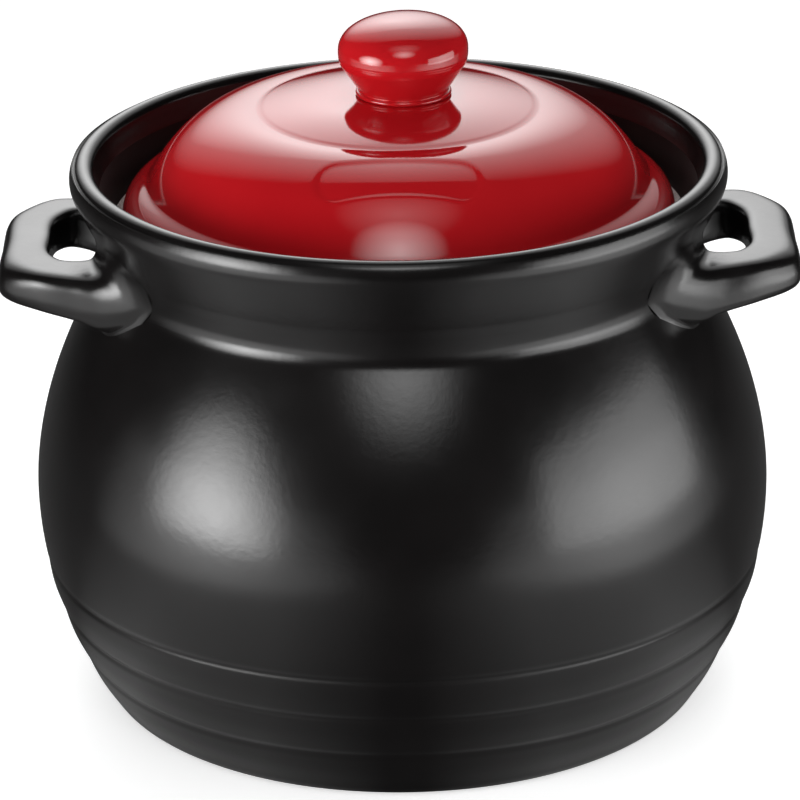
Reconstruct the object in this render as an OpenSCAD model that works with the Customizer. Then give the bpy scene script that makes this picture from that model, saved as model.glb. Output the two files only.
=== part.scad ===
// Round-bellied ceramic stew pot with two loop handles and a sunk, domed lid.
// Millimetres, +Z up. The origin is the centre of the flat base, and the handles lie along X.
// The pot itself is one thrown piece. It is drawn as three rings, belly, shoulder and neck, that
// meet face to face at its widest line and at its waist.

/* [Pot] */
// Diameter of the belly at its widest
belly_d = 253; // [220:1:300]
// Height of the widest point of the belly above the base
belly_z = 76; // [62:1:90]
// Diameter where the base curve starts to rise as the side of the belly
foot_d = 210; // [170:1:216]
// Radius of the rounded edge between base and side
foot_round = 9; // [4:0.5:12]
// Distance that the waist stands outside the ledge's outer edge
waist_out = 0.5; // [0:0.25:4]
// Height of the waist above the base
waist_z = 156.5; // [146:0.5:166]
// Height over which the waist is rounded, on each side of it
waist_soft = 5; // [2:0.5:8]
// Distance that the rim stands outside the ledge's outer edge
rim_out = 14.75; // [12:0.25:20]
// Height of the rim above the base
rim_z = 192; // [186:1:204]
// Thickness of the belly wall
wall_t = 7; // [5:0.5:9]
// Thickness of the floor
floor_t = 9; // [6:0.5:14]
// Height of the curve from the floor to the wall inside
floor_curve = 16; // [10:1:24]

/* [Rim] */
// Width of the rounded bead along the top of the rim
bead_w = 7; // [5:0.5:8]
// Distance of the bead inside the outermost edge of the rim, and above it
bead_set = 1.7; // [1:0.1:2.5]
// Depth of the fine line below the bead
bead_line = 0.5; // [0.3:0.1:0.8]
// Height of the swollen edge outside the bead
rim_edge_h = 7; // [5:0.5:9]

/* [Turned rings] */
// Number of fine grooves round the lower belly
groove_count = 3; // [1:1:4]
// Height of the lowest groove above the base
groove_z = 20; // [14:1:26]
// Distance from one groove to the next
groove_pitch = 16; // [10:1:18]
// Depth of each groove
groove_depth = 0.6; // [0.3:0.1:1]
// Radius of the tool that turned the grooves
groove_tool = 3; // [2:0.5:4]

/* [Lid seat] */
// Height of the ledge that the lid rests on
seat_z = 167; // [164:0.5:172]
// Diameter of the ledge where it meets the wall above it
seat_d = 194.5; // [190:0.5:197]
// Width of the ledge that carries the lid
ledge_w = 8.25; // [6:0.25:12]
// Size of the hollow curve between the ledge and the wall above it
seat_round = 5; // [3:0.5:5.5]
// Depth of the straight throat below the ledge
throat_h = 9; // [6:0.5:12]

/* [Lid] */
// Gap between the edge of the lid and the wall round the ledge
lid_gap = 3; // [1.5:0.1:4]
// Height of the middle of the lid above the ledge
lid_rise = 46.5; // [40:0.5:54]
// Thickness of the lid
lid_t = 5.5; // [4:0.5:7]
// Width of the rolled flange round the dome
flange_w = 9.25; // [7:0.25:12]
// Height above the ledge at which the dome meets the flange
flange_h = 17.5; // [14:0.5:20]
// Diameter of the soft ring at the edge of the flat top
plateau_d = 92; // [70:1:104]
// Drop from the middle of the lid to that ring
plateau_drop = 4; // [2:0.5:6]
// Depth of the locating ring under the lid
skirt_h = 7; // [4:0.5:8]
// Thickness of the locating ring
skirt_t = 5; // [4:0.5:7]
// Gap between the locating ring and the throat
skirt_gap = 1.5; // [0.8:0.1:3]

/* [Lid panel] */
// Width of the bare sunk panel on the front of the dome
panel_w = 54; // [40:1:62]
// Length of the panel down the slope, seen from above
panel_l = 15; // [10:1:17]
// Depth of the panel
panel_deep = 0.5; // [0.3:0.1:0.8]

/* [Knob] */
// Diameter of the knob at its widest
knob_d = 44; // [36:1:52]
// Height of the knob
knob_h = 27; // [22:1:34]
// Height of the widest point above the lid
knob_wide_z = 15.5; // [12:0.5:18]
// Diameter of the stem at its narrowest
stem_d = 29; // [22:1:31]
// Diameter of the thin bead round the foot of the stem
collar_d = 32.5; // [31.5:0.5:38]
// Height of that bead
collar_h = 2; // [1.5:0.1:3]
// Distance of the knob from the lid's centre, as it was set by hand
knob_x = 2.1; // [0:0.1:3]

/* [Handles] */
// Distance that the grip stands out from the waist
handle_out = 38; // [30:1:46]
// Width of the loop at the grip
grip_w = 62; // [52:1:76]
// Width of the loop where its arms meet the pot
root_w = 112; // [100:1:120]
// Thickness of the grip, seen from above
grip_t = 17; // [12:0.5:20]
// Thickness of the arms, seen from above
arm_t = 17; // [13:0.5:19]
// Height of the handle's top face above the waist
handle_rise = 7.5; // [4:0.5:10]
// Height of the grip
grip_h = 14; // [10:0.5:18]
// Height of the arms where they meet the pot
root_h = 21.5; // [17:0.5:24]

/* [Hidden] */
$fn = 96;
black_glaze = [0.07, 0.065, 0.065];
red_glaze = [0.72, 0.02, 0.03];

// The mouth, the neck and the lid all follow the ledge that the lid rests on.
belly_r = belly_d / 2;
foot_r = foot_d / 2;
seat_r = seat_d / 2;
throat_r = seat_r - ledge_w;
waist_r = seat_r + waist_out;
rim_r = seat_r + rim_out;

// How full the belly is above and below its widest point: 2 is a plain ellipse's crown.
full_above = 1.9;
full_below = 2.04;
belly_steps = 12;
curve_steps = 8;

// Side of the foot's round edge, whose end leans with the belly.
foot_lean = atan(full_below * (belly_r - foot_r) / (belly_z - foot_round / 2));
foot_rise = foot_round * (1 - sin(foot_lean));
base_r = foot_r - foot_round * cos(foot_lean);

// Middle of the rim's bead, and the swollen edge outside it.
bead_r = bead_w / 2;
bead_mid = rim_r - bead_set - bead_r;
bead_start = 25;
edge_top = rim_z - bead_set;
edge_low = edge_top - rim_edge_h;
edge_inset = 0.8;
edge_crown = 0.4;
edge_turn = 1.2;

// Outer radius of the belly at a height.
function belly_at(z) = z > belly_z
    ? belly_r - (belly_r - waist_r) * pow((z - belly_z) / (waist_z - belly_z), full_above)
    : belly_r - (belly_r - foot_r) * pow((belly_z - z) / (belly_z - foot_rise), full_below);

// Outer radius of the flared neck at a height.
function neck_at(z) = waist_r + (rim_r - edge_inset - waist_r) * (z - waist_z) / (edge_low - waist_z);

// Points of a curve with three or four control points.
function bend(a, b, c, n = curve_steps) =
    [for (i = [0:n]) let (t = i / n) a * (1 - t) * (1 - t) + b * 2 * t * (1 - t) + c * t * t];
function sweep_bend(a, b, c, d, n = curve_steps) =
    [for (i = [0:n]) let (t = i / n, s = 1 - t)
        a * s * s * s + b * 3 * s * s * t + c * 3 * s * t * t + d * t * t * t];

// Points of an arc, angles in degrees.
function arc(mid, r, from, to, n = curve_steps) =
    [for (i = [0:n]) let (w = from + (to - from) * i / n) mid + r * [cos(w), sin(w)]];

// Outer outline of the pot, from the edge of the base up to the line below the bead.
waist_below = waist_z - waist_soft;
waist_above = waist_z + waist_soft * 1.6;
outer_side = concat(
    arc([base_r, foot_round], foot_round, -90, -foot_lean, 4),
    [for (i = [1:belly_steps]) let (z = foot_rise + (belly_z - foot_rise) * i / belly_steps)
        [belly_at(z), z]],
    [for (i = [1:belly_steps - 1]) let (z = belly_z + (waist_below - belly_z) * i / belly_steps)
        [belly_at(z), z]],
    bend([belly_at(waist_below), waist_below], [waist_r, waist_z],
        [neck_at(waist_above), waist_above]),
    bend([neck_at(edge_low), edge_low], [rim_r + edge_crown, edge_low + rim_edge_h / 2],
        [rim_r - edge_turn, edge_top], 5),
    [[rim_r - bead_set - bead_line, edge_top]]);

bead = arc([bead_mid, rim_z - bead_r], bead_r, bead_start, 180, 8);

// Inner outline of the pot, from the ledge down to the floor. The throat widens again below the
// ledge, and the inside then keeps the wall's thickness from the outside.
throat_low = seat_z - throat_h;
throat_flare = 6;
mouth_lean = (bead_mid - bead_r - seat_r) / (rim_z - bead_r - seat_z);
inner_top = waist_below - 8;
inner_low = floor_t + floor_curve;
floor_turn = 5;
floor_reach = 26;
inner_side = concat(
    bend([seat_r + seat_round * mouth_lean, seat_z + seat_round], [seat_r, seat_z],
        [seat_r - seat_round, seat_z], 6),
    [[throat_r, seat_z], [throat_r, throat_low]],
    bend([throat_r, throat_low], [throat_r + 1, throat_low - throat_flare],
        [belly_at(inner_top) - wall_t, inner_top], 5),
    [for (i = [1:7]) let (z = inner_top - (inner_top - inner_low) * i / 8) [belly_at(z) - wall_t, z]],
    bend([belly_at(inner_low) - wall_t, inner_low],
        [belly_at(floor_t) - wall_t - floor_turn, floor_t],
        [belly_at(floor_t) - wall_t - floor_reach, floor_t], 6),
    [[0, floor_t]]);

// The pot as a filled form, which the handles are fitted against.
module pot_form() {
    rotate_extrude() polygon(concat([[0, 0]], outer_side, [[0, edge_top]]));
}

// One fine groove, cut by a round-nosed tool, as half of the pot's section shows it.
module turned_groove(z) {
    translate([belly_at(z) - groove_depth + groove_tool, z]) circle(r = groove_tool, $fn = 24);
}

// The part of the pot between two heights.
module pot_ring(low, high) {
    color(black_glaze) rotate_extrude() intersection() {
        difference() {
            polygon(concat([[0, 0]], outer_side, bead, inner_side));
            for (i = [0:groove_count - 1]) turned_groove(groove_z + i * groove_pitch);
        }
        translate([0, low]) square([belly_d, high - low]);
    }
}

module pot_belly() {
    pot_ring(0, belly_z);
}

module pot_shoulder() {
    pot_ring(belly_z, waist_z);
}

module pot_neck() {
    pot_ring(waist_z, rim_z);
}

// Half of a handle's loop, seen from above, as sections from the grip to the root. Outside, a
// section has a point at its top edge, at its widest place and at its foot, so the arm's face
// follows the pot at the root. The small numbers are the loop's own drawn shape.
grip_half = grip_w / 2;
root_half = root_w / 2;
grip_x = waist_r + handle_out;
handle_z = waist_z + handle_rise;
root_x = sqrt(waist_r * waist_r - root_half * root_half);
loop_edge = [
    [grip_x - 2.5, 0], [grip_x - 2.5, grip_half - 12], [grip_x - 6, grip_half - 1.5],
    [grip_x - 14.5, grip_half + 7.5], [waist_r + 10, grip_half + 12.5],
    [waist_r + 1.5, grip_half + 14], [root_x + 11, root_half - 10], [root_x + 3, root_half - 9]];
loop_outer = [
    [grip_x, 0], [grip_x, grip_half - 10], [grip_x - 3, grip_half], [grip_x - 14.5, grip_half + 9.5],
    [waist_r + 10, grip_half + 13], [waist_r + 1, grip_half + 16.5],
    [root_x + 6, root_half - 2.5], [root_x - 6, root_half + 4]];
loop_foot = [
    [grip_x - 1, 0], [grip_x - 1, grip_half - 11], [grip_x - 4.5, grip_half - 1],
    [grip_x - 15.5, grip_half + 8], [waist_r + 10, grip_half + 11.5],
    [waist_r + 4, grip_half + 12.5], [waist_r - 3, grip_half + 12], [waist_r - 12, grip_half + 12]];
loop_inner = [
    [grip_x - grip_t, 0], [grip_x - grip_t, grip_half - 19],
    [grip_x - grip_t - 2.5, grip_half + 5.5 - arm_t], [grip_x - grip_t - 7, grip_half + 10 - arm_t],
    [waist_r + 6, grip_half + 8 - arm_t], [waist_r + 1, grip_half - arm_t],
    [root_x + 10, grip_half + 6 - arm_t], [root_x, root_half + 4 - arm_t]];

// Rise of each section's top above the grip's, and how far its depth has grown to the root's.
loop_top = [0, 0, 0, 0, 0, 2, 8, 9];
loop_deep = [0, 0, 0, 0.1, 0.4, 0.85, 1, 1];
// Height of the widest place, as a share of the section's height.
widest = 0.55;

section_points = 20;
section_square = 0.55;
steps_per_part = 3;

// A smooth run through four values.
function run(a, b, c, d, t) =
    b + (c - a) * t / 2 + (2 * a - 5 * b + 4 * c - d) * t * t / 2
    + (3 * b - a - 3 * c + d) * t * t * t / 2;
function at(list, i) = list[max(0, min(len(list) - 1, i))];
function along(list, u) = let (i = floor(u), t = u - i)
    run(at(list, i - 1), at(list, i), at(list, i + 1), at(list, i + 2), t);
// The mirrored value before the first one keeps the loop smooth across its middle.
function mirrored(p) = [p[0], -p[1]];
function along_loop(list, u) = u < 1
    ? run(mirrored(list[1]), list[0], list[1], list[2], u)
    : along(list, u);

// A section's rounded-square outline, with a smooth face through its three outside points.
function squared(v) = sign(v) * pow(abs(v), section_square);
function loop_section(u, side) = let (
    e = along_loop(loop_edge, u),
    o = along_loop(loop_outer, u),
    f = along_loop(loop_foot, u),
    n = along_loop(loop_inner, u),
    top = handle_z + along(loop_top, u),
    low = handle_z - grip_h - (root_h - grip_h) * along(loop_deep, u))
    [for (k = [0:section_points - 1]) let (w = -side * 360 * k / section_points)
        let (across = (1 + squared(cos(w))) / 2, up = (1 + squared(sin(w))) / 2)
        let (face = f * (up - widest) * (up - 1) / widest
            - o * up * (up - 1) / (widest * (1 - widest)) + e * up * (up - widest) / (1 - widest))
        let (p = n + (face - n) * across)
        [p[0], side * p[1], low + (top - low) * up]];

loop_last = len(loop_outer) - 1;
half_steps = loop_last * steps_per_part;
loop_sections = concat(
    [for (i = [half_steps:-1:1]) loop_section(i / steps_per_part, -1)],
    [for (i = [0:half_steps]) loop_section(i / steps_per_part, 1)]);

module loop_handle() {
    count = len(loop_sections);
    // Sections with a positive side run the other way round, so their points are matched here.
    rings = [for (i = [0:count - 1]) [for (k = [0:section_points - 1])
        loop_sections[i][i < half_steps ? k : (section_points - k) % section_points]]];
    points = [for (ring = rings) for (p = ring) p];
    sides = [for (i = [0:count - 2]) for (k = [0:section_points - 1])
        let (m = (k + 1) % section_points, a = i * section_points, b = a + section_points)
        each [[a + k, b + k, b + m], [a + k, b + m, a + m]]];
    first = [[for (k = [0:section_points - 1]) k]];
    last = [[for (k = [section_points - 1:-1:0]) (count - 1) * section_points + k]];
    difference() {
        polyhedron(points, concat(sides, first, last), convexity = 6);
        pot_form();
    }
}

module handle_right() {
    color(black_glaze) loop_handle();
}

module handle_left() {
    color(black_glaze) mirror([1, 0, 0]) loop_handle();
}

// Heights and radii of the lid, taken from the ledge.
lid_r = seat_r - lid_gap;
dome_r = lid_r - flange_w;
top_z = seat_z + lid_rise;
dome_z = seat_z + flange_h;
plateau_r = plateau_d / 2;
plateau_z = top_z - plateau_drop;
pad_r = collar_d / 2 + knob_x + 1;
skirt_r = throat_r - skirt_gap;
dome_fall = plateau_z - dome_z;
dome_run = dome_r - plateau_r;

// How the flat top dips towards its soft ring, how far the dome stays flat and how upright and low
// its side is, as shares of its run and fall, and the rounding of the lid's small edges. The
// flange's foot is cut back to where the hollow curve round the ledge starts.
dish_full = 1.7;
dome_flat = 0.6;
dome_side = 0.12;
dome_full = 0.7;
edge_round = 1;
flange_round = max(edge_round, seat_round - lid_gap);

// Outer side of the lid from the flat pad under the knob to the flange's edge.
lid_upper = concat(
    [[0, top_z], [pad_r, top_z]],
    [for (i = [1:5]) let (t = i / 5) [pad_r + (plateau_r - pad_r) * t,
        top_z - plateau_drop * pow(t, dish_full)]],
    sweep_bend([plateau_r + 1.5, plateau_z - 0.6], [plateau_r + dome_run * dome_flat, plateau_z - 0.6],
        [dome_r - dome_run * dome_side, plateau_z - dome_fall * dome_full],
        [dome_r - 0.7, dome_z + 1.2], 12),
    sweep_bend([dome_r + 0.4, dome_z - 0.4], [dome_r + 1.7, dome_z - 1.9],
        [lid_r, dome_z - flange_h * 0.17], [lid_r, seat_z + flange_round], 10),
    [[lid_r - flange_round, seat_z]]);

// Inner side of the lid, back to the middle.
skirt_low = seat_z - skirt_h;
lid_under = concat(
    [[skirt_r, seat_z], [skirt_r, skirt_low + edge_round], [skirt_r - edge_round, skirt_low],
    [skirt_r - skirt_t + edge_round, skirt_low], [skirt_r - skirt_t, skirt_low + edge_round]],
    sweep_bend([skirt_r - skirt_t, seat_z + edge_round], [dome_r - lid_t, dome_z + 1],
        [plateau_r + dome_run * dome_flat, plateau_z - lid_t - 0.8],
        [plateau_r, plateau_z - lid_t - 0.5], 12),
    [[pad_r, top_z - lid_t - 0.5], [0, top_z - lid_t]]);

// The panel lies on the front of the dome, between the plateau and the flange.
panel_y = plateau_r + dome_run * 0.42;
panel_straight = panel_w - panel_l;

module panel_outline() {
    translate([0, -panel_y]) square([panel_straight, panel_l], center = true);
    for (s = [-1, 1]) translate([s * panel_straight / 2, -panel_y]) circle(d = panel_l, $fn = 32);
}

// Everything above the lid's outer side, which sinks into the lid to form the panel.
module above_lid() {
    rotate_extrude() polygon(concat(lid_upper, [[rim_r, seat_z], [rim_r, top_z + 1], [0, top_z + 1]]));
}

module lid_dome() {
    color(red_glaze) difference() {
        rotate_extrude() polygon(concat(lid_upper, lid_under));
        intersection() {
            translate([0, 0, -panel_deep]) above_lid();
            translate([0, 0, dome_z]) linear_extrude(height = lid_rise) panel_outline();
        }
    }
}

// Outline of the knob above the lid: foot bead, stem flaring to the rounded edge, and crown.
knob_r = knob_d / 2;
stem_r = stem_d / 2;
collar_in = collar_d / 2 - collar_h / 2;
crown_h = knob_h - knob_wide_z;
crown_full = 2.25;
crown_steps = 12;
knob_outline = concat(
    [[0, 0], [collar_in, 0]],
    arc([collar_in, collar_h / 2], collar_h / 2, -60, 90, 5),
    [[stem_r, collar_h + 0.3]],
    bend([knob_r - 1.1, knob_wide_z - 5], [knob_r, knob_wide_z - 3.5],
        [knob_r, knob_wide_z - 0.5], 5),
    [for (i = [0:crown_steps]) let (w = 90 * i / crown_steps)
        [knob_r * pow(cos(w), 2 / crown_full), knob_wide_z + crown_h * pow(sin(w), 2 / crown_full)]]);

module lid_knob() {
    color(red_glaze) translate([knob_x, 0, top_z]) rotate_extrude() polygon(knob_outline);
}

pot_belly();
pot_shoulder();
pot_neck();
handle_left();
handle_right();
lid_dome();
lid_knob();
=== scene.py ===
"""Black round-bellied stew pot with a red domed lid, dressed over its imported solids.

Lengths are written in millimetres and turned into metres when a mesh is made.
"""

import math

import bpy
from mathutils import Matrix, Vector, noise


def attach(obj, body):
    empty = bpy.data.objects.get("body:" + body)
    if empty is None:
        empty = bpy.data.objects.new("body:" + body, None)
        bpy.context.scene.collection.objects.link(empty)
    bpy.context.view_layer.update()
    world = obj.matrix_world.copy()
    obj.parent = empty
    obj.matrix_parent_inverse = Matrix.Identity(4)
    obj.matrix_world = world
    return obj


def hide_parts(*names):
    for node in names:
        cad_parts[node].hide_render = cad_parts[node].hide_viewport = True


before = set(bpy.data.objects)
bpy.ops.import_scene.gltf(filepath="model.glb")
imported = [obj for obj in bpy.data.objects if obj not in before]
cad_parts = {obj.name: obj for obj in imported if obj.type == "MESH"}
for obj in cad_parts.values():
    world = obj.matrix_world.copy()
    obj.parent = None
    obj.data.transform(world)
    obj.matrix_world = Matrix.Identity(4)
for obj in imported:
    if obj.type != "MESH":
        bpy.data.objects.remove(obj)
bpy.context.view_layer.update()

MM = 0.001

# Camera, found from the outline of the pot in the photograph
VIEW_TARGET = (-0.5, 0.0, 102.0)
VIEW_DISTANCE = 1720.0
VIEW_ELEVATION = 21.6
VIEW_ROLL = 0.771
VIEW_LENS = 223.8
VIEW_SENSOR = 36.0
VIEW_FAR = 50.0

# Light: the world's own glow, and the points in metres at which the lamps aim
WORLD_LIGHT = 0.02
MAIN_AIM = (0.0, 0.0, 0.12)
SIDE_AIM = (0.0, 0.0, 0.16)

# Floor: its half width and its drop below the base in metres, its grey, and its lift to white
FLOOR_HALF = 6.0
FLOOR_DROP = 0.0002
FLOOR_GREY = 0.86
FLOOR_LIFT = 0.62

# In reflections the floor's colour is painted: painted shade all round but for a fan of painted
# light to each side of the pot's front.
# The fan's bearings are in degrees from the back: it fades in over the first two and out over the
# last two
PAINTED_FLOOR_SHADE = 0.12
PAINTED_FAN_LIGHT = 0.90
FAN_BEARINGS = (85.0, 115.0, 150.0, 176.0)

# Pot
BELLY_R = 126.5
BELLY_Z = 76.0
FOOT_R = 105.0
FOOT_ROUND = 9.0
WAIST_R = 97.75
WAIST_Z = 156.5
WAIST_SOFT = 5.0
RIM_R = 112.0
RIM_Z = 192.0
WALL = 7.0
FLOOR = 9.0
FULL_ABOVE = 1.9
FULL_BELOW = 2.04
BEAD_W = 7.0
BEAD_SET = 1.7
EDGE_DROP = 1.7
NOTCH_DEPTH = 0.85
RIM_EDGE_H = 7.0

# Turned rings on the lower belly
GROOVES = (20.0, 36.0, 52.0)
GROOVE_DEPTH = 0.6
GROOVE_HALF = 1.3
BAND_SWELL = 0.4
GROOVED_TOP = 56.0

# Seat and lid
SEAT_Z = 167.0
SEAT_R = 97.25
THROAT_R = 89.0
THROAT_H = 9.0
SEAT_ROUND = 5.0
LID_GAP = 3.0
LID_RISE = 46.5
LID_T = 5.5
FLANGE_W = 9.25
FLANGE_H = 17.5
PLATEAU_R = 46.0
PLATEAU_DROP = 4.0
PLATEAU_FULL = 1.7
DOME_FLAT = 0.6
DOME_SIDE = 0.12
DOME_FULL = 0.7
SKIRT_GAP = 1.5
SKIRT_H = 7.0
SKIRT_T = 5.0

# Bare panel on the front of the dome
PANEL_W = 54.0
PANEL_L = 15.0
PANEL_DEPTH = 0.5
PANEL_EDGE = 2.0
PANEL_AT = 0.42

# Knob
KNOB_R = 22.0
KNOB_H = 27.0
KNOB_WIDE_Z = 15.5
STEM_R = 15.2
COLLAR_R = 16.25
COLLAR_H = 1.7
KNOB_X = 2.1
KNOB_LEAN = 0.03
CROWN_FULL = 2.25

# Handles
HANDLE_OUT = 38.0
GRIP_W = 62.0
ROOT_W = 112.0
GRIP_T = 17.0
ARM_T = 17.0
HANDLE_RISE = 7.5
GRIP_H = 14.0
ROOT_H = 21.5
LOW_FILLET = 1.6
TOP_FILLET = 7.0
DIP = 0.35
DIP_AT = 4.55
DIP_REACH = 0.5
SQUARENESS = 0.42
WIDEST = 0.55
FRONT_LEAN = {-1: 0.5, 1: 3.3}
HOLE_SHIFT = 2.3
HANDLE_SIDES = 48
HANDLE_ROWS = 52
ROW_CROWDING = 1.5
FILLET_RISE = 8.0
ROOT_SINK = 0.25
CAP_SINK = 3.0


def bend(points, count):
    """Points of a Bezier curve through its first and last control points."""
    out = []
    for i in range(count + 1):
        t = i / count
        row = [Vector(p) for p in points]
        while len(row) > 1:
            row = [a.lerp(b, t) for a, b in zip(row, row[1:])]
        out.append((row[0].x, row[0].y))
    return out


def arc(mid, radius, start, end, count):
    """Points of an arc, angles in degrees."""
    out = []
    for i in range(count + 1):
        w = math.radians(start + (end - start) * i / count)
        out.append((mid[0] + radius * math.cos(w), mid[1] + radius * math.sin(w)))
    return out


def steps(low, high, count):
    """Evenly spaced values, both ends included."""
    return [low + (high - low) * i / count for i in range(count + 1)]


# Faces round each turned form
POT_SIDES = 288
LID_SIDES = 384
KNOB_SIDES = 128

# Rows of faces: on the wall above the ledge, on the hollow curve between them, on the outside below
# the rim that stay even, and on the lid's edge that stay even
MOUTH_ROWS = 8
HOLLOW_ROWS = 12
EVEN_RIM_ROWS = 24
EVEN_LID_ROWS = 8

# Unevenness of the thrown forms: how far, how broad, and the height over which the pot's sets in
POT_WOBBLE = 0.35
LID_WOBBLE = 0.12
POT_WAVE = 60.0
LID_WAVE = 40.0
WOBBLE_RISE = 12.0

# Outline of the pot

FOOT_LEAN = math.atan(FULL_BELOW * (BELLY_R - FOOT_R) / (BELLY_Z - FOOT_ROUND / 2))
FOOT_RISE = FOOT_ROUND * (1 - math.sin(FOOT_LEAN))
BASE_R = FOOT_R - FOOT_ROUND * math.cos(FOOT_LEAN)
BEAD_MID = RIM_R - BEAD_SET - BEAD_W / 2
EDGE_TOP = RIM_Z - EDGE_DROP
NOTCH_Z = EDGE_TOP - NOTCH_DEPTH
EDGE_LOW = EDGE_TOP - RIM_EDGE_H
WAIST_BELOW = WAIST_Z - WAIST_SOFT
WAIST_ABOVE = WAIST_Z + WAIST_SOFT * 1.6


def belly(z):
    """Outer radius of the belly at a height."""
    if z > BELLY_Z:
        return BELLY_R - (BELLY_R - WAIST_R) * ((z - BELLY_Z) / (WAIST_Z - BELLY_Z)) ** FULL_ABOVE
    return BELLY_R - (BELLY_R - FOOT_R) * ((BELLY_Z - z) / (BELLY_Z - FOOT_RISE)) ** FULL_BELOW


def neck(z):
    """Outer radius of the flared neck at a height."""
    return WAIST_R + (RIM_R - 0.8 - WAIST_R) * (z - WAIST_Z) / (EDGE_LOW - WAIST_Z)


def turned(z):
    """What the turned grooves and the swollen bands between them add to the radius."""
    out = 0.0
    for groove in GROOVES:
        out -= GROOVE_DEPTH * math.exp(-((z - groove) / GROOVE_HALF) ** 2)
    pitch = GROOVES[1] - GROOVES[0]
    if GROOVES[0] - pitch < z < GROOVES[-1]:
        out += BAND_SWELL * math.sin(math.pi * ((z - GROOVES[0]) / pitch % 1.0)) ** 2
    return out


def pot_outer():
    """Outer outline from the edge of the base to the fine notch below the bead."""
    points = arc((BASE_R, FOOT_ROUND), FOOT_ROUND, -90, -math.degrees(FOOT_LEAN), 8)
    points += [(belly(z) + turned(z), z) for z in steps(FOOT_RISE, GROOVED_TOP, 110)[1:]]
    points += [(belly(z), z) for z in steps(GROOVED_TOP, WAIST_BELOW, 40)[1:-1]]
    points += bend([(belly(WAIST_BELOW), WAIST_BELOW), (WAIST_R, WAIST_Z),
                    (neck(WAIST_ABOVE), WAIST_ABOVE)], 14)
    points += [(neck(z), z) for z in steps(WAIST_ABOVE, EDGE_LOW, 8)[1:-1]]
    points += bend([(neck(EDGE_LOW), EDGE_LOW), (RIM_R + 0.4, EDGE_LOW + RIM_EDGE_H / 2),
                    (RIM_R - 1.2, EDGE_TOP)], 12)
    # Close rows keep the notch's two lips crisp
    points[-1:] = [(RIM_R - 1.17, EDGE_TOP - 0.06), (RIM_R - 1.2, EDGE_TOP),
                   (RIM_R - 1.25, EDGE_TOP - 0.03), (BEAD_MID + BEAD_W / 2 + 0.05, NOTCH_Z)]
    return points


def pot_bead():
    """Rounded bead along the top of the rim, outside to inside."""
    start = math.degrees(math.asin((NOTCH_Z - RIM_Z) / (BEAD_W / 2) + 1))
    return arc((BEAD_MID, RIM_Z - BEAD_W / 2), BEAD_W / 2, start, 180, 24)


def pot_inner():
    """Inner outline from below the bead, over the ledge, to the middle of the floor."""
    throat_low = SEAT_Z - THROAT_H
    top = WAIST_BELOW - 8
    low = FLOOR + 16
    wall = BEAD_MID - BEAD_W / 2
    bead_low = RIM_Z - BEAD_W / 2
    lean = (wall - SEAT_R) / (bead_low - SEAT_Z)
    hollow = (SEAT_R + SEAT_ROUND * lean, SEAT_Z + SEAT_ROUND)
    points = steps_line((wall, bead_low), hollow, MOUTH_ROWS)[1:]
    points += bend([hollow, (SEAT_R, SEAT_Z), (SEAT_R - SEAT_ROUND, SEAT_Z)], HOLLOW_ROWS)[1:]
    points += bend([(THROAT_R + 1.4, SEAT_Z), (THROAT_R, SEAT_Z), (THROAT_R, SEAT_Z - 1.4)], 5)
    points += bend([(THROAT_R, throat_low), (THROAT_R + 1, throat_low - 6),
                    (belly(top) - WALL, top)], 12)
    points += [(belly(z) - WALL, z) for z in steps(top, low, 40)[1:-1]]
    points += bend([(belly(low) - WALL, low), (belly(FLOOR) - WALL - 5, FLOOR),
                    (belly(FLOOR) - WALL - 26, FLOOR)], 14)
    points += [(r, FLOOR) for r in steps(belly(FLOOR) - WALL - 26, 0.0, 10)[1:]]
    return points


def steps_line(a, b, count):
    """Evenly spaced points from a to b."""
    return [(a[0] + (b[0] - a[0]) * i / count, a[1] + (b[1] - a[1]) * i / count)
            for i in range(count + 1)]


# Mesh making

def new_piece(name, verts, faces, materials, marks=None, body="pot"):
    """Mesh object in metres, smooth shaded, with a material index per face."""
    mesh = bpy.data.meshes.new(name)
    mesh.from_pydata([tuple(c * MM for c in v) for v in verts], [], faces)
    mesh.validate()
    for material in materials:
        mesh.materials.append(material)
    if marks is not None:
        mesh.polygons.foreach_set("material_index", marks)
    mesh.polygons.foreach_set("use_smooth", [True] * len(mesh.polygons))
    mesh.update()
    obj = bpy.data.objects.new(name, mesh)
    bpy.context.scene.collection.objects.link(obj)
    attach(obj, body)
    return obj


def revolve(outline, count, shift=0.0, shape=None):
    """Turns an outline that starts and ends on the axis.

    Gives the points, the faces and the row of each face.
    """
    verts = []
    rings = []
    for row, (r, z) in enumerate(outline):
        if r < 1e-6:
            rings.append([len(verts)])
            verts.append((shift, 0.0, z))
            continue
        ring = []
        for k in range(count):
            w = 2 * math.pi * k / count
            rr, zz = (r, z) if shape is None else shape(row, r, z, w)
            ring.append(len(verts))
            verts.append((shift + rr * math.cos(w), rr * math.sin(w), zz))
        rings.append(ring)
    faces = []
    rows = []
    for row, (a, b) in enumerate(zip(rings, rings[1:])):
        for k in range(count):
            m = (k + 1) % count
            if len(a) == 1 and len(b) == 1:
                continue
            if len(a) == 1:
                faces.append((a[0], b[m], b[k]))
            elif len(b) == 1:
                faces.append((a[k], a[m], b[0]))
            else:
                faces.append((a[k], a[m], b[m], b[k]))
            rows.append(row)
    return verts, faces, rows


def wobble(r, z, w, reach, scale):
    """Slight unevenness of a thrown form, smooth all the way round."""
    p = Vector((r * math.cos(w), r * math.sin(w), z)) / scale
    return reach * noise.noise(p)


# Materials

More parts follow.
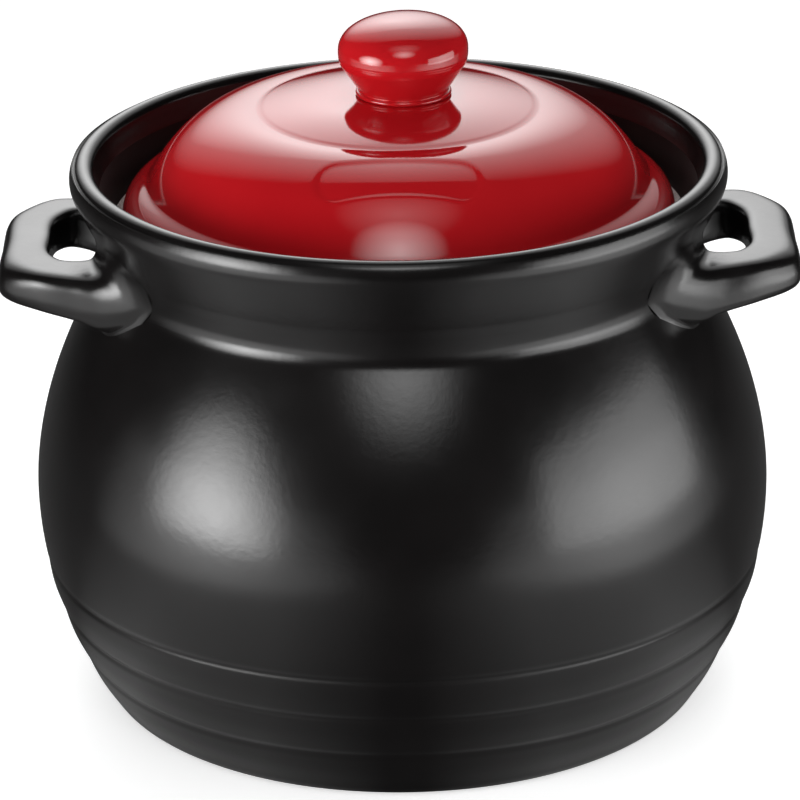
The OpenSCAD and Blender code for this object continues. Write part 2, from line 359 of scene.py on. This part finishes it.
class Nodes:
    """Small helper that adds and links shader nodes."""

    def __init__(self, name):
        self.material = bpy.data.materials.new(name)
        self.material.use_nodes = True
        self.tree = self.material.node_tree
        self.shader = self.tree.nodes["Principled BSDF"]
        self.coords = self.tree.nodes.new("ShaderNodeTexCoord").outputs["Object"]

    def link(self, a, b):
        self.tree.links.new(a, b)

    def node(self, kind, **values):
        made = self.tree.nodes.new(kind)
        for key, value in values.items():
            setattr(made, key, value)
        return made

    def noise(self, scale, detail=3.0, rough=0.55, stretch=None):
        made = self.node("ShaderNodeTexNoise")
        made.inputs["Scale"].default_value = scale
        made.inputs["Detail"].default_value = detail
        made.inputs["Roughness"].default_value = rough
        source = self.coords
        if stretch is not None:
            mapping = self.node("ShaderNodeMapping")
            mapping.inputs["Scale"].default_value = stretch
            self.link(source, mapping.inputs["Vector"])
            source = mapping.outputs["Vector"]
        self.link(source, made.inputs["Vector"])
        return made.outputs["Fac"]

    def ramp(self, fac, stops):
        made = self.node("ShaderNodeValToRGB")
        ramp = made.color_ramp
        while len(ramp.elements) < len(stops):
            ramp.elements.new(0.5)
        for element, (place, colour) in zip(ramp.elements, stops):
            element.position = place
            element.color = (*colour, 1.0)
        self.link(fac, made.inputs["Fac"])
        return made.outputs["Color"]

    def span(self, fac, low, high, from_low=0.0, from_high=1.0):
        made = self.node("ShaderNodeMapRange")
        made.inputs["From Min"].default_value = from_low
        made.inputs["From Max"].default_value = from_high
        made.inputs["To Min"].default_value = low
        made.inputs["To Max"].default_value = high
        self.link(fac, made.inputs["Value"])
        return made.outputs["Result"]

    def bump(self, height, strength, distance, before=None):
        made = self.node("ShaderNodeBump")
        made.inputs["Strength"].default_value = strength
        made.inputs["Distance"].default_value = distance
        self.link(height, made.inputs["Height"])
        if before is not None:
            self.link(before, made.inputs["Normal"])
        return made.outputs["Normal"]

    def set(self, **values):
        for key, value in values.items():
            self.shader.inputs[key.replace("_", " ")].default_value = value


def black_glaze():
    """Satin black glaze: faint mottling, orange peel and slight waves."""
    m = Nodes("black_glaze")
    m.set(IOR=1.5, Specular_IOR_Level=0.5, Coat_Weight=0.0)
    colour = m.ramp(m.noise(28.0, 4.0), [(0.3, (0.0030, 0.0026, 0.0026)),
                                         (0.7, (0.0056, 0.0048, 0.0048))])
    m.link(colour, m.shader.inputs["Base Color"])
    m.link(m.span(m.noise(60.0, 3.0), 0.20, 0.235, 0.3, 0.7), m.shader.inputs["Roughness"])
    peel = m.bump(m.noise(420.0, 2.0), 0.05, 0.0006)
    waves = m.bump(m.noise(26.0, 1.0), 0.10, 0.0012, peel)
    m.link(waves, m.shader.inputs["Normal"])
    return m.material


def inner_glaze():
    """Dark reddish-brown glaze inside the pot."""
    m = Nodes("inner_glaze")
    m.set(IOR=1.5, Specular_IOR_Level=0.25)
    colour = m.ramp(m.noise(22.0, 4.0), [(0.3, (0.004, 0.0028, 0.0027)),
                                         (0.7, (0.007, 0.0046, 0.0044))])
    m.link(colour, m.shader.inputs["Base Color"])
    m.link(m.span(m.noise(50.0, 3.0), 0.42, 0.50, 0.3, 0.7), m.shader.inputs["Roughness"])
    m.link(m.bump(m.noise(300.0, 2.0), 0.06, 0.0006), m.shader.inputs["Normal"])
    return m.material


def red_glaze():
    """Glossy red glaze, a little deeper where it pools."""
    m = Nodes("red_glaze")
    m.set(IOR=1.5, Specular_IOR_Level=0.62)
    colour = m.ramp(m.noise(16.0, 3.0), [(0.3, (0.43, 0.006, 0.010)),
                                         (0.7, (0.49, 0.009, 0.013))])
    m.link(colour, m.shader.inputs["Base Color"])
    m.link(m.span(m.noise(70.0, 2.0), 0.05, 0.09, 0.3, 0.7), m.shader.inputs["Roughness"])
    m.link(m.bump(m.noise(30.0, 1.0), 0.05, 0.0008), m.shader.inputs["Normal"])
    return m.material


def bare_clay():
    """Unglazed fired clay: sandy, rough, with darker grains."""
    m = Nodes("bare_clay")
    m.set(Roughness=0.9, Specular_IOR_Level=0.2)
    colour = m.ramp(m.noise(900.0, 5.0, 0.7), [(0.35, (0.30, 0.27, 0.25)),
                                               (0.5, (0.46, 0.43, 0.41)),
                                               (0.75, (0.58, 0.55, 0.53))])
    m.link(colour, m.shader.inputs["Base Color"])
    m.link(m.bump(m.noise(1200.0, 4.0, 0.7), 0.35, 0.0006), m.shader.inputs["Normal"])
    return m.material


def pale_floor():
    """Plain floor: white to the camera with the object's shadow kept; in reflections its colour is
    painted shade, with a fan of painted light to each side.
    """
    m = Nodes("pale_floor")
    m.set(Roughness=0.95, Specular_IOR_Level=0.0)
    path = m.node("ShaderNodeLightPath")
    place = m.node("ShaderNodeSeparateXYZ")
    m.link(m.coords, place.inputs["Vector"])
    sideways = m.node("ShaderNodeMath", operation="ABSOLUTE")
    m.link(place.outputs["X"], sideways.inputs[0])
    bearing = m.node("ShaderNodeMath", operation="ARCTAN2")
    m.link(sideways.outputs["Value"], bearing.inputs[0])
    m.link(place.outputs["Y"], bearing.inputs[1])
    turn = m.span(bearing.outputs["Value"], 0.0, 1.0, 0.0, math.pi)
    # In glossy rays the floor shows painted shade in front and painted light in a fan to each side,
    # which the glazes show as painted reflections
    greys = (PAINTED_FLOOR_SHADE, PAINTED_FAN_LIGHT, PAINTED_FAN_LIGHT, PAINTED_FLOOR_SHADE)
    painted_reflection = m.ramp(turn, [(bearing_at / 180.0, (level,) * 3) for bearing_at, level
                              in zip(FAN_BEARINGS, greys)])
    grey = m.span(path.outputs["Is Glossy Ray"], FLOOR_GREY, FLOOR_GREY)
    m.link(painted_reflection, grey.node.inputs["To Max"])
    m.link(grey, m.shader.inputs["Base Color"])
    m.shader.inputs["Emission Color"].default_value = (1.0, 1.0, 1.0, 1.0)
    m.link(m.span(path.outputs["Is Camera Ray"], 0.0, FLOOR_LIFT),
           m.shader.inputs["Emission Strength"])
    return m.material


# Pieces

def make_pot(glaze, inside, clay):
    """Belly, neck, rim and inside of the pot as one turned form."""
    outer = pot_outer()
    base = [(r, 0.0) for r in steps(0.0, BASE_R, 10)[:-1]]
    rim = pot_bead()
    inner = pot_inner()
    outline = base + outer + rim + inner
    first_outer = len(base)
    first_inner = len(base) + len(outer) + len(rim)

    def shape(row, r, z, w):
        if first_outer < row < first_outer + len(outer) - EVEN_RIM_ROWS:
            fade = min(1.0, z / WOBBLE_RISE)
            r += wobble(r, z, w, POT_WOBBLE, POT_WAVE) * fade
        return r, z

    verts, faces, rows = revolve(outline, POT_SIDES, shape=shape)
    ledge = range(first_inner + MOUTH_ROWS + 2, first_inner + MOUTH_ROWS + HOLLOW_ROWS + 1)
    marks = [2 if row < first_outer or row in ledge else 1 if row >= first_inner + 2 else 0
             for row in rows]
    pot = new_piece("pot_form", verts, faces, [glaze, inside, clay], marks)
    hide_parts("pot_belly", "pot_shoulder", "pot_neck")
    return pot


def run(a, b, c, d, t):
    """A smooth run through four values."""
    return (b + (c - a) * t / 2 + (2 * a - 5 * b + 4 * c - d) * t * t / 2
            + (3 * b - a - 3 * c + d) * t * t * t / 2)


def along(values, u, mirror=None):
    """Smooth value at place u of a list, with its mirrored second value before the first."""
    i = min(int(u), len(values) - 2)
    t = u - i

    def at(k):
        if k < 0:
            return mirror(values[-k]) if mirror else values[0]
        return values[min(k, len(values) - 1)]
    return run(at(i - 1), at(i), at(i + 1), at(i + 2), t)


def squared(v, power):
    """A cosine or sine pressed towards the sides of its square."""
    return math.copysign(abs(v) ** power, v)


# The part of the pot's outline that the handles can meet
OUTSIDE = [p for p in pot_outer() if p[1] > GROOVES[0]]


def outer_radius(z):
    """Outer radius of the pot at a height, from its outline."""
    for (r0, z0), (r1, z1) in zip(OUTSIDE, OUTSIDE[1:]):
        if z0 <= z <= z1 and z1 > z0:
            return r0 + (r1 - r0) * (z - z0) / (z1 - z0)
    return RIM_R if z > EDGE_TOP else belly(z)


class Loop:
    """The sections of one arm of a handle, from the middle of the grip to the root."""

    def __init__(self, shift, lean, draw):
        half = GRIP_W / 2
        root = ROOT_W / 2
        grip = WAIST_R + HANDLE_OUT
        root_x = math.sqrt(WAIST_R ** 2 - root ** 2)
        # Outside of the arm at its top edge, at two thirds of its height and at its foot
        self.edge = [Vector(p) for p in (
            (grip - 2.5, 0), (grip - 2.5, half - 12), (grip - 6, half - 1.5),
            (grip - 14.5, half + 7.5), (WAIST_R + 10, half + 12.7), (WAIST_R + 1.5, half + 14.3),
            (root_x + 11, root - 10), (root_x + 3, root - 9))]
        self.outer = [Vector(p) for p in (
            (grip, 0), (grip, half - 10), (grip - 3, half - 0.5), (grip - 14.5, half + 8.3),
            (WAIST_R + 10, half + 13.3), (WAIST_R + 1, half + 16.5), (root_x + 6, root - 2.5),
            (root_x - 6, root + 4))]
        self.foot = [Vector(p) for p in (
            (grip - 1, 0), (grip - 1, half - 11), (grip - 4.5, half - 1.5), (grip - 15.5, half + 7),
            (WAIST_R + 10, half + 12), (WAIST_R + 4, half + 12.5), (WAIST_R - 3, half + 12),
            (WAIST_R - 12, half + 12))]
        self.inner = [Vector(p) for p in (
            (grip - GRIP_T, 0), (grip - GRIP_T, half - 19),
            (grip - GRIP_T - 2.5, half + 5.5 - ARM_T), (grip - GRIP_T - 7, half + 10 - ARM_T),
            (WAIST_R + 6, half + 8 - ARM_T), (WAIST_R + 1, half - ARM_T),
            (root_x + 10, half + 6 - ARM_T), (root_x, root + 4 - ARM_T))]
        self.top = [0, 0, 0, 0, 0, 2, 8, 9]
        self.deep = [0, 0, 0, 0.1, 0.4, 0.85, 1, 1]
        # How far this arm is drawn out at its corner, and how far its outside leans in upwards
        for k, share in ((2, 0.3), (3, 1.0), (4, -0.3)):
            for path in (self.edge, self.outer, self.foot):
                path[k].y += draw * share
        for k, share in ((1, 0.3), (2, 0.8), (3, 1.0), (4, 1.0), (5, 0.5)):
            self.edge[k].y -= lean * share
            self.outer[k].y -= lean * share * 0.6
        self.last = len(self.outer) - 1
        # How far the hole lies towards this arm, so one arm is a little thinner than the other
        self.shift = shift

    def point(self, u, w):
        """Point of the loop at place u and angle w round its section."""
        def flip(p):
            return Vector((p[0], -p[1]))

        e = along(self.edge, u, flip)
        o = along(self.outer, u, flip)
        f = along(self.foot, u, flip)
        n = along(self.inner, u, flip) + Vector((0, self.shift))
        across = (1 + squared(math.cos(w), SQUARENESS)) / 2
        up = (1 + squared(math.sin(w), SQUARENESS)) / 2
        top = WAIST_Z + HANDLE_RISE + along(self.top, u)
        # A shallow dip ends the flat top in a tongue
        top -= DIP * math.exp(-((u - DIP_AT) / DIP_REACH) ** 2)
        low = WAIST_Z + HANDLE_RISE - GRIP_H - (ROOT_H - GRIP_H) * along(self.deep, u)
        # A smooth face through the foot, the widest place and the top edge
        face = (f * (up - WIDEST) * (up - 1) / WIDEST - o * up * (up - 1) / (WIDEST * (1 - WIDEST))
                + e * up * (up - WIDEST) / (1 - WIDEST))
        p = n.lerp(face, across)
        return Vector((p.x, p.y, low + (top - low) * up))

    def centre(self, u):
        return (self.point(u, 0.0) + self.point(u, math.pi)) / 2

    def meets(self, w):
        """Place along the loop at which this line of points reaches the pot's outside."""
        low, high = 3.0, float(self.last)
        for _ in range(30):
            mid = (low + high) / 2
            p = self.point(mid, w)
            if math.hypot(p.x, p.y) > outer_radius(p.z):
                low = mid
            else:
                high = mid
        return (low + high) / 2


def arm_rings(loop, around, lengths):
    """Rings of one arm from the middle of the grip to its root, which spreads in a fillet."""
    angles = [2 * math.pi * k / around for k in range(around)]
    ends = [loop.meets(w) for w in angles]
    half = []
    for i in range(lengths + 1):
        ring = []
        for w, end in zip(angles, ends):
            # Rings crowd towards the root, where the fillet needs them
            t = 1 - (1 - i / lengths) ** ROW_CROWDING
            u = end * t
            p = loop.point(u, w)
            gap = math.hypot(p.x, p.y) - outer_radius(p.z)
            grown = soft_step((p.z - WAIST_Z) / FILLET_RISE)
            fillet = LOW_FILLET + (TOP_FILLET - LOW_FILLET) * grown
            if i > lengths // 2 and gap < fillet:
                gap = max(gap, 0.0)
                spread = fillet - math.sqrt(fillet ** 2 - (fillet - gap) ** 2)
                out = (p - loop.centre(u))
                skin = Vector((p.x, p.y, 0)).normalized()
                out -= skin * out.dot(skin)
                if out.length > 1e-6:
                    out.normalize()
                p = p + out * spread
                reach = outer_radius(p.z) + gap - (ROOT_SINK if i == lengths else 0.0)
                flat = Vector((p.x, p.y, 0)).normalized() * reach
                p = Vector((flat.x, flat.y, p.z))
            ring.append(p)
        half.append(ring)
    return half


def handle_mesh(sign):
    """One loop handle. Its front arm is a little thicker than its rear one."""
    around = HANDLE_SIDES
    rear = arm_rings(Loop(HOLE_SHIFT, 0.5, 2.5), around, HANDLE_ROWS)
    front = arm_rings(Loop(-HOLE_SHIFT, FRONT_LEAN[sign], 0.0), around, HANDLE_ROWS)
    rings = [[Vector((p.x, -p.y, p.z)) for p in ring] for ring in reversed(front[1:])] + rear
    verts = [(sign * p.x, p.y, p.z) for ring in rings for p in ring]
    faces = []
    for i in range(len(rings) - 1):
        for k in range(around):
            m = (k + 1) % around
            quad = (i * around + k, i * around + m, (i + 1) * around + m, (i + 1) * around + k)
            faces.append(quad if sign > 0 else quad[::-1])
    # Buried caps close each root inside the wall
    for ring_at, flip in ((0, sign > 0), (len(rings) - 1, sign < 0)):
        middle = Vector((0, 0, 0))
        for k in range(around):
            middle += Vector(verts[ring_at * around + k])
        middle /= around
        inward = Vector((middle.x, middle.y, 0)).normalized()
        verts.append(tuple(middle - inward * CAP_SINK))
        tip = len(verts) - 1
        for k in range(around):
            m = (k + 1) % around
            tri = (ring_at * around + k, tip, ring_at * around + m)
            faces.append(tri[::-1] if flip else tri)
    return verts, faces


def make_handle(name, node, sign, glaze):
    verts, faces = handle_mesh(sign)
    handle = new_piece(name, verts, faces, [glaze])
    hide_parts(node)
    return handle


LID_R = SEAT_R - LID_GAP
DOME_R = LID_R - FLANGE_W
TOP_Z = SEAT_Z + LID_RISE
DOME_Z = SEAT_Z + FLANGE_H
PLATEAU_Z = TOP_Z - PLATEAU_DROP
PAD_R = COLLAR_R + KNOB_X + 1
SKIRT_R = THROAT_R - SKIRT_GAP
DOME_FALL = PLATEAU_Z - DOME_Z
DOME_RUN = DOME_R - PLATEAU_R


def lid_top():
    """Upper outline of the lid, from the middle to the flange's edge."""
    points = [(r, TOP_Z) for r in steps(0.0, PAD_R, 6)]
    for t in steps(0.0, 1.0, 24)[1:]:
        r = PAD_R + (PLATEAU_R - PAD_R) * t
        points.append((r, TOP_Z - PLATEAU_DROP * t ** PLATEAU_FULL))
    points += bend([(PLATEAU_R + 1.5, PLATEAU_Z - 0.6),
                    (PLATEAU_R + DOME_RUN * DOME_FLAT, PLATEAU_Z - 0.6),
                    (DOME_R - DOME_RUN * DOME_SIDE, PLATEAU_Z - DOME_FALL * DOME_FULL),
                    (DOME_R - 0.7, DOME_Z + 1.2)], 64)
    points += bend([(DOME_R + 0.4, DOME_Z - 0.4), (DOME_R + 1.7, DOME_Z - 1.9),
                    (LID_R, DOME_Z - FLANGE_H * 0.17), (LID_R, SEAT_Z + 4)], 24)
    points += bend([(LID_R, SEAT_Z + 3), (LID_R, SEAT_Z), (LID_R - 3, SEAT_Z)], 5)
    return points


def lid_under():
    """Lower outline of the lid, from the seat to the middle."""
    points = steps_line((LID_R - 3.4, SEAT_Z), (SKIRT_R + 0.6, SEAT_Z), 3)
    points += bend([(SKIRT_R, SEAT_Z - 0.6), (SKIRT_R, SEAT_Z - SKIRT_H),
                    (SKIRT_R - 1.5, SEAT_Z - SKIRT_H)], 8)
    points += bend([(SKIRT_R - SKIRT_T + 1.5, SEAT_Z - SKIRT_H),
                    (SKIRT_R - SKIRT_T, SEAT_Z - SKIRT_H), (SKIRT_R - SKIRT_T, SEAT_Z - 4)], 6)
    points += bend([(SKIRT_R - SKIRT_T, SEAT_Z + 1), (DOME_R - LID_T, DOME_Z + 1),
                    (PLATEAU_R + DOME_RUN * DOME_FLAT, PLATEAU_Z - LID_T - 0.8),
                    (PLATEAU_R, PLATEAU_Z - LID_T - 0.5)], 30)
    points += steps_line((PLATEAU_R - 3, PLATEAU_Z - LID_T - 0.2), (PAD_R, TOP_Z - LID_T - 0.5), 6)
    points += [(r, TOP_Z - LID_T) for r in steps(PAD_R - 4, 0.0, 4)]
    return points


def soft_step(v):
    """Smooth step from 0 to 1."""
    v = max(0.0, min(1.0, v))
    return v * v * (3 - 2 * v)


def make_lid(glaze, clay):
    """Domed lid with its rolled flange, bare panel and locating ring."""
    top = lid_top()
    under = lid_under()
    outline = top + under
    panel_y = PLATEAU_R + DOME_RUN * PANEL_AT
    half_w = (PANEL_W - PANEL_L) / 2
    half_l = PANEL_L / 2

    def shape(row, r, z, w):
        if row < len(top) - EVEN_LID_ROWS:
            r += wobble(r, z, w, LID_WOBBLE, LID_WAVE) * min(1.0, r / 30.0)
            x, y = r * math.cos(w), r * math.sin(w)
            if y < 0 and r > PLATEAU_R:
                dx = max(abs(x) - half_w, 0.0)
                edge = math.hypot(dx, y + panel_y) - half_l
                z -= PANEL_DEPTH * soft_step(0.5 - edge / PANEL_EDGE)
        return r, z

    verts, faces, rows = revolve(outline, LID_SIDES, shape=shape)
    # The outline runs downward outside, so the faces are turned over
    faces = [f[::-1] for f in faces]
    # The face that rests on the ledge and the outside of the ring are bare
    seat = range(len(top) - 2, len(top) + 12)
    marks = [1 if row in seat else 0 for row in rows]
    lid = new_piece("lid_form", verts, faces, [glaze, clay], marks, body="lid")
    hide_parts("lid_dome")
    return lid


def make_knob(glaze):
    """Mushroom knob with a thin bead round its foot."""
    outline = [(r, 0.0) for r in steps(0.0, COLLAR_R - COLLAR_H / 2, 5)]
    outline += arc((COLLAR_R - COLLAR_H / 2, COLLAR_H / 2), COLLAR_H / 2, -60, 90, 10)
    cone_top = (KNOB_R - 1.1, KNOB_WIDE_Z - 5)
    outline += steps_line((STEM_R, COLLAR_H + 0.3), cone_top, 16)
    outline += bend([cone_top, (KNOB_R, KNOB_WIDE_Z - 3.6), (KNOB_R, KNOB_WIDE_Z - 0.5)], 10)[1:]
    for w in steps(0.0, 90.0, 36):
        a = math.radians(w)
        outline.append((KNOB_R * max(math.cos(a), 0.0) ** (2 / CROWN_FULL),
                        KNOB_WIDE_Z + (KNOB_H - KNOB_WIDE_Z) * math.sin(a) ** (2 / CROWN_FULL)))
    outline[-1] = (0.0, KNOB_H)
    outline = [(r, z + TOP_Z) for r, z in outline]

    def shape(row, r, z, w):
        return r, z + KNOB_LEAN * r * math.cos(w) * (z - TOP_Z) / KNOB_H

    verts, faces, _ = revolve(outline, KNOB_SIDES, shift=KNOB_X, shape=shape)
    knob = new_piece("knob_form", verts, faces, [glaze], body="lid")
    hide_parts("lid_knob")
    return knob


# Stage, lights and camera

def aim(obj, place, target):
    """Puts an object at a place, turned towards a target."""
    obj.location = place
    obj.rotation_euler = (Vector(target) - Vector(place)).to_track_quat("-Z", "Y").to_euler()


def softbox(name, azimuth, elevation, distance, size, radiance, target=MAIN_AIM,
            spread=180):
    """Rectangular lamp. Azimuth 0 is the front, 90 the right, in degrees. A narrow spread fades
    the lamp's face from its middle outwards, as a soft cloth front does."""
    lamp = bpy.data.lights.new(name, "AREA")
    lamp.shape = "RECTANGLE"
    lamp.size, lamp.size_y = size
    lamp.spread = math.radians(spread)
    # A face that fades keeps its brightness in the middle
    half = math.radians(spread / 2)
    fade = 1.0 if spread >= 180 else (math.tan(half) - half) / math.tan(half)
    lamp.energy = radiance * math.pi * size[0] * size[1] * fade
    obj = bpy.data.objects.new(name, lamp)
    bpy.context.scene.collection.objects.link(obj)
    a, e = math.radians(azimuth), math.radians(elevation)
    way = Vector((math.sin(a) * math.cos(e), -math.cos(a) * math.cos(e), math.sin(e)))
    aim(obj, Vector(target) + way * distance, target)
    obj.visible_camera = False
    return obj


def make_stage():
    """Floor, which isn't part of the object."""
    floor_mesh = bpy.data.meshes.new("floor")
    s = FLOOR_HALF
    floor_mesh.from_pydata([(-s, -s, 0), (s, -s, 0), (s, s, 0), (-s, s, 0)], [], [(0, 1, 2, 3)])
    floor_mesh.materials.append(pale_floor())
    floor = bpy.data.objects.new("floor", floor_mesh)
    floor.location.z = -FLOOR_DROP
    bpy.context.scene.collection.objects.link(floor)


def make_world():
    """White to the camera, and only a faint glow on the object."""
    world = bpy.data.worlds.new("studio")
    world.use_nodes = True
    bpy.context.scene.world = world
    tree = world.node_tree
    back = tree.nodes["Background"]
    path = tree.nodes.new("ShaderNodeLightPath")
    strength = tree.nodes.new("ShaderNodeMapRange")
    strength.inputs["To Min"].default_value = WORLD_LIGHT
    strength.inputs["To Max"].default_value = 1.0
    tree.links.new(path.outputs["Is Camera Ray"], strength.inputs["Value"])
    tree.links.new(strength.outputs["Result"], back.inputs["Strength"])
    back.inputs["Color"].default_value = (1.0, 1.0, 1.0, 1.0)


def make_lights():
    """Soft lamps to both sides, above the front and behind, with a low card at each side."""
    softbox("left_round", -60, 2.5, 1.10, (1.40, 1.40), 15.5, SIDE_AIM, spread=50)
    softbox("left_card", -60, -15, 0.40, (0.84, 0.24), 1.8, SIDE_AIM, spread=94)
    softbox("right_box", 71, 2, 0.95, (1.00, 0.50), 4.8, SIDE_AIM, spread=96)
    softbox("right_card", 68, -15, 0.40, (0.84, 0.24), 2.0, SIDE_AIM, spread=94)
    softbox("front_low_box", 0, 46, 1.6, (1.10, 1.10), 5.6, spread=38)
    softbox("front_high_box", 0, 70, 1.6, (1.30, 1.00), 1.4, spread=44)
    softbox("back_core", -176, 26, 1.6, (1.50, 1.30), 2.7, spread=50)
    softbox("back_wide", 180, 39, 2.0, (4.40, 3.00), 2.15, spread=86)


def make_camera():
    """Long lens, a little rolled, from in front and above."""
    camera = bpy.data.cameras.new("camera")
    camera.lens = VIEW_LENS
    camera.sensor_width = VIEW_SENSOR
    camera.sensor_fit = "HORIZONTAL"
    camera.clip_end = VIEW_FAR
    obj = bpy.data.objects.new("camera", camera)
    bpy.context.scene.collection.objects.link(obj)
    e = math.radians(VIEW_ELEVATION)
    roll = math.radians(VIEW_ROLL)
    right = Vector((1, 0, 0))
    up = Vector((0, math.sin(e), math.cos(e)))
    back = Vector((0, -math.cos(e), math.sin(e)))
    turned_right = right * math.cos(roll) - up * math.sin(roll)
    turned_up = right * math.sin(roll) + up * math.cos(roll)
    place = Vector(VIEW_TARGET) * MM + back * VIEW_DISTANCE * MM
    obj.matrix_world = Matrix((
        (turned_right.x, turned_up.x, back.x, place.x),
        (turned_right.y, turned_up.y, back.y, place.y),
        (turned_right.z, turned_up.z, back.z, place.z),
        (0, 0, 0, 1)))
    bpy.context.scene.camera = obj


def main():
    make_camera()
    make_stage()
    make_world()
    make_lights()
    glaze = black_glaze()
    inside = inner_glaze()
    red = red_glaze()
    clay = bare_clay()
    make_pot(glaze, inside, clay)
    make_handle("handle_left_form", "handle_left", -1, glaze)
    make_handle("handle_right_form", "handle_right", 1, glaze)
    make_lid(red, clay)
    make_knob(red)
    bpy.context.scene.view_settings.view_transform = "Standard"


main()
